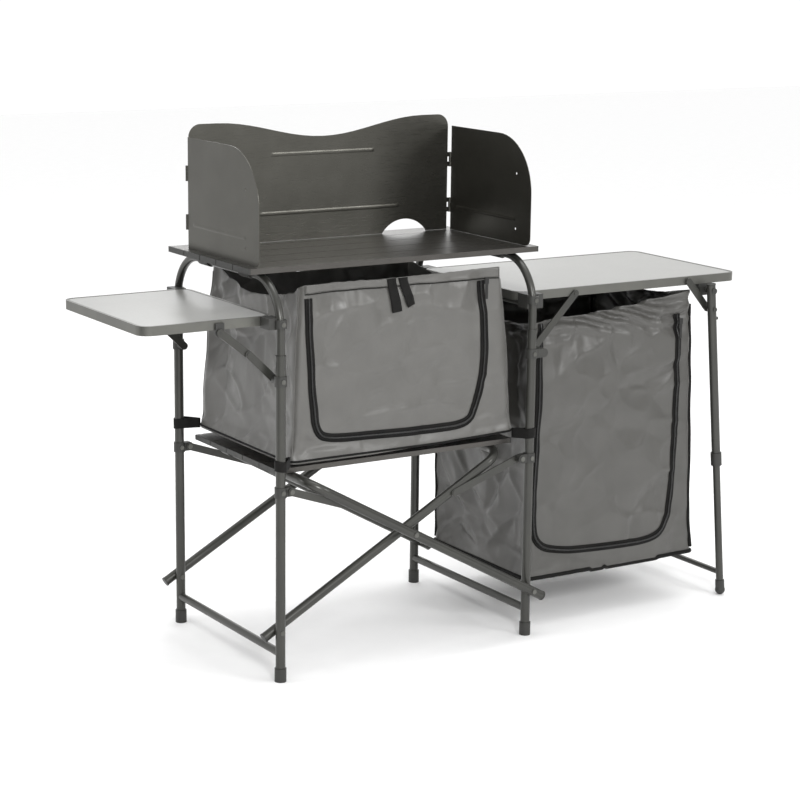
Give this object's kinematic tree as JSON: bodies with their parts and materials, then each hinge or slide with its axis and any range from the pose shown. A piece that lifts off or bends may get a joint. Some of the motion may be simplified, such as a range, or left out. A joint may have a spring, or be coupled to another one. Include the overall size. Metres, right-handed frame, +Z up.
{
  "type": "camp kitchen table",
  "caption": "Folding camp kitchen table with slatted worktop, windshield, scissor frame, two side boards, shelf and two zipped storage bags.",
  "frame": {"origin": "middle of the whole footprint's bounding box on the floor", "axes": "+Z up; +X towards the long side board with the tall cupboard bag; the kitchen's front is at -Y"},
  "size_m": [1.407, 0.492, 1.0433],
  "materials": {
    "powder_coated_steel": "satin powder coat",
    "rivet_steel": "dark plated",
    "black_plastic": "matt moulded",
    "anodised_aluminium": "anthracite, glossy",
    "edge_aluminium": "dark satin",
    "grey_laminate": "matt melamine laminate",
    "coated_fabric": "coated polyester, slight sheen",
    "webbing": "woven webbing",
    "zip_metal": "black enamel"
  },
  "bodies": {
    "right_frame": {"hoop_right": "powder_coated_steel", "legs_right": "powder_coated_steel", "foot_caps_right": "black_plastic", "bottom_rail_right": "powder_coated_steel", "leg_rivets_right": "rivet_steel", "strut_saddles_right": "black_plastic", "worktop_slats": "anodised_aluminium", "worktop_end_caps": "black_plastic", "worktop_clips_right": "black_plastic", "windshield_back": "anodised_aluminium", "windshield_pins": "rivet_steel", "board_blocks_right": "black_plastic", "right_board_top": "grey_laminate", "right_board_edge": "edge_aluminium", "board_rod": "powder_coated_steel", "prop_saddles_right": "black_plastic", "right_props": "powder_coated_steel", "side_leg_brackets": "black_plastic", "shelf_bag": "coated_fabric", "bag_ties": "webbing", "bag_straps_right": "webbing", "cupboard_bag": "coated_fabric"},
    "scissor_a": {"scissor_frame_a": "powder_coated_steel", "arm_caps_a": "black_plastic", "scissor_pins": "rivet_steel"},
    "scissor_b": {"scissor_frame_b": "powder_coated_steel", "arm_caps_b": "black_plastic"},
    "left_frame": {"hoop_left": "powder_coated_steel", "legs_left": "powder_coated_steel", "foot_caps_left": "black_plastic", "bottom_rail_left": "powder_coated_steel", "leg_rivets_left": "rivet_steel", "lower_pins_left": "rivet_steel", "strut_saddles_left": "black_plastic", "worktop_clips_left": "black_plastic", "board_blocks_left": "black_plastic", "brace_saddles_left": "black_plastic", "bag_straps_left": "webbing"},
    "struts_left": {"struts_left": "powder_coated_steel"},
    "struts_right": {"struts_right": "powder_coated_steel"},
    "shelf_clips": {"shelf_clips": "black_plastic"},
    "shelf": {"shelf_slats": "anodised_aluminium", "shelf_end_caps": "black_plastic"},
    "left_board": {"left_board_top": "grey_laminate", "left_board_edge": "edge_aluminium", "left_board_clevises": "black_plastic"},
    "brace_upper": {"brace_upper_links": "powder_coated_steel"},
    "brace_lower": {"brace_lower_links": "powder_coated_steel"},
    "wing_left": {"windshield_wing_left": "anodised_aluminium"},
    "wing_right": {"windshield_wing_right": "anodised_aluminium"},
    "side_legs": {"side_leg_uppers": "powder_coated_steel", "side_leg_caps": "black_plastic", "lock_buttons": "black_plastic", "side_leg_collars": "black_plastic"},
    "side_lowers": {"side_leg_lowers": "powder_coated_steel", "side_leg_crossbar": "powder_coated_steel", "side_leg_feet": "black_plastic"},
    "side_stays": {"side_leg_stays": "powder_coated_steel"},
    "shelf_zip": {"shelf_bag_slider": "zip_metal"},
    "cupboard_zip": {"cupboard_bag_slider": "zip_metal"}
  },
  "joints": [
    {"name": "frame_fold", "type": "hinge", "parent": "right_frame", "child": "scissor_a", "pos_m": [0.1415, 0, 0.099], "axis": [0, 1, 0], "range_deg": [0, 41], "deforming": ["shelf_bag", "bag_ties"]},
    {"name": "cross_pivot", "type": "hinge", "parent": "scissor_a", "child": "scissor_b", "pos_m": [-0.1465, 0, 0.2593], "axis": [0, 1, 0], "range_deg": [-82.1, 0]},
    {"name": "left_pivot", "type": "hinge", "parent": "scissor_b", "child": "left_frame", "pos_m": [-0.4345, 0, 0.099], "axis": [0, 1, 0], "range_deg": [0, 41.1]},
    {"name": "left_struts", "type": "hinge", "parent": "left_frame", "child": "struts_left", "pos_m": [-0.4145, 0, 0.376], "axis": [0, 1, 0], "range_deg": [-92.1, 0]},
    {"name": "right_struts", "type": "hinge", "parent": "right_frame", "child": "struts_right", "pos_m": [0.1215, 0, 0.376], "axis": [0, 1, 0], "range_deg": [0, 92.1]},
    {"name": "shelf_clip_pivot", "type": "hinge", "parent": "scissor_a", "child": "shelf_clips", "pos_m": [-0.37989, 0, 0.3892], "axis": [0, 1, 0], "range_deg": [-41.1, 0]},
    {"name": "shelf_slide", "type": "slide", "parent": "shelf_clips", "child": "shelf", "axis": [1, 0, 0], "range_m": [-0.3193, 0]},
    {"name": "left_board_fold", "type": "hinge", "parent": "left_frame", "child": "left_board", "pos_m": [-0.4465, 0, 0.7], "axis": [0, 1, 0], "range_deg": [-75, 0]},
    {"name": "brace_upper", "type": "hinge", "parent": "left_board", "child": "brace_upper", "pos_m": [-0.5455, 0, 0.688], "axis": [0, 1, 0], "range_deg": [0, 136.4]},
    {"name": "brace_lower", "type": "hinge", "parent": "left_frame", "child": "brace_lower", "pos_m": [-0.4345, 0, 0.591], "axis": [0, 1, 0], "range_deg": [-102.5, 0]},
    {"name": "wing_left", "type": "hinge", "parent": "right_frame", "child": "wing_left", "pos_m": [-0.4555, 0.127, 0.8], "axis": [0, 0, 1], "range_deg": [0, 90]},
    {"name": "wing_right", "type": "hinge", "parent": "right_frame", "child": "wing_right", "pos_m": [0.1625, 0.127, 0.8], "axis": [0, 0, 1], "range_deg": [-90, 0]},
    {"name": "side_leg_fold", "type": "hinge", "parent": "right_frame", "child": "side_legs", "pos_m": [0.6155, 0, 0.68], "axis": [0, 1, 0], "range_deg": [0, 75], "deforming": ["cupboard_bag"]},
    {"name": "side_leg_slide", "type": "slide", "parent": "side_legs", "child": "side_lowers", "axis": [-0.0906, 0, 0.9959], "range_m": [0, 0.2205]},
    {"name": "side_stay_pivot", "type": "hinge", "parent": "side_legs", "child": "side_stays", "pos_m": [0.61913, 0, 0.64016], "axis": [0, 1, 0], "range_deg": [-99, 0]},
    {"name": "shelf_bag_zip", "type": "slide", "parent": "right_frame", "child": "shelf_zip", "axis": [0, 0, -1], "range_m": [0, 0.15]},
    {"name": "cupboard_bag_zip", "type": "slide", "parent": "right_frame", "child": "cupboard_zip", "axis": [0, 0, -1], "range_m": [0, 0.3]}
  ],
  "couplings": [
    {"joint": "cross_pivot", "follows": "frame_fold", "ratio": -2},
    {"joint": "left_pivot", "follows": "frame_fold", "ratio": 1},
    {"joint": "left_struts", "follows": "frame_fold", "ratio": -2.2423},
    {"joint": "right_struts", "follows": "frame_fold", "ratio": 2.2423},
    {"joint": "shelf_clip_pivot", "follows": "frame_fold", "ratio": -1},
    {"joint": "shelf_slide", "follows": "frame_fold", "m_per_rad": -0.44478},
    {"joint": "brace_upper", "follows": "left_board_fold", "ratio": -1.8163},
    {"joint": "brace_lower", "follows": "left_board_fold", "ratio": 1.3653},
    {"joint": "side_leg_slide", "follows": "side_leg_fold", "m_per_rad": 0.16807},
    {"joint": "side_stay_pivot", "follows": "side_leg_fold", "ratio": -1.3184}
  ]
}
